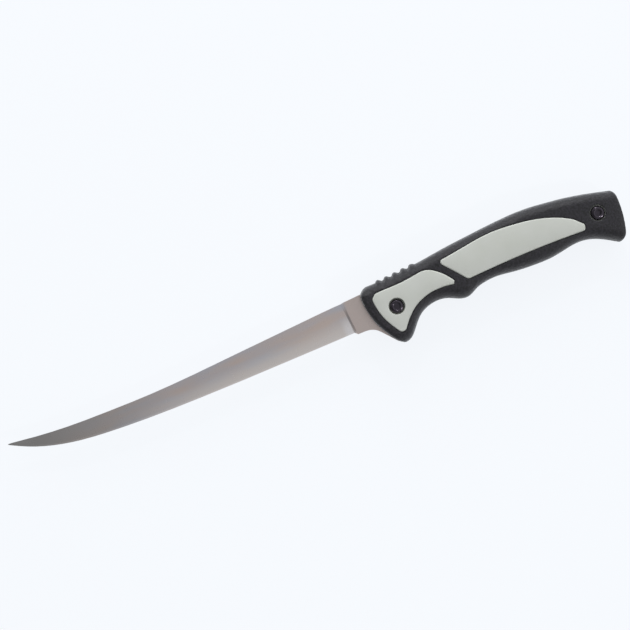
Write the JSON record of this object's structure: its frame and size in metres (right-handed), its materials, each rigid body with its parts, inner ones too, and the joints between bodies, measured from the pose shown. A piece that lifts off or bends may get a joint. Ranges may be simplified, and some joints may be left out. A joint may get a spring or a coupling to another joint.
{
  "type": "fillet knife",
  "caption": "Fillet knife: a slim curved steel blade with a finger guard, clamped by bolts between grey cores moulded into black rubber grip halves with thumb ribs.",
  "frame": {"origin": "on the surface that the knife lies on, under the middle of its outline", "axes": "+X from the blade's point towards the butt, +Y from the cutting edge towards the spine, +Z from the right side, which it lies on, to the left side"},
  "size_m": [0.328, 0.0397, 0.0186],
  "materials": {
    "blade_steel": "fine satin grind across the blade",
    "grey_core": "matt moulded nylon",
    "black_rubber": "fine-grained soft rubber",
    "black_bolts": "black oxide steel"
  },
  "bodies": {
    "root": {"blade": "blade_steel", "left_handle_core": "grey_core", "right_handle_core": "grey_core", "left_rubber_grip": "black_rubber", "right_rubber_grip": "black_rubber", "front_bolt_screw": "black_bolts", "front_bolt_barrel": "black_bolts", "rear_bolt_screw": "black_bolts", "rear_bolt_barrel": "black_bolts"}
  },
  "joints": []
}
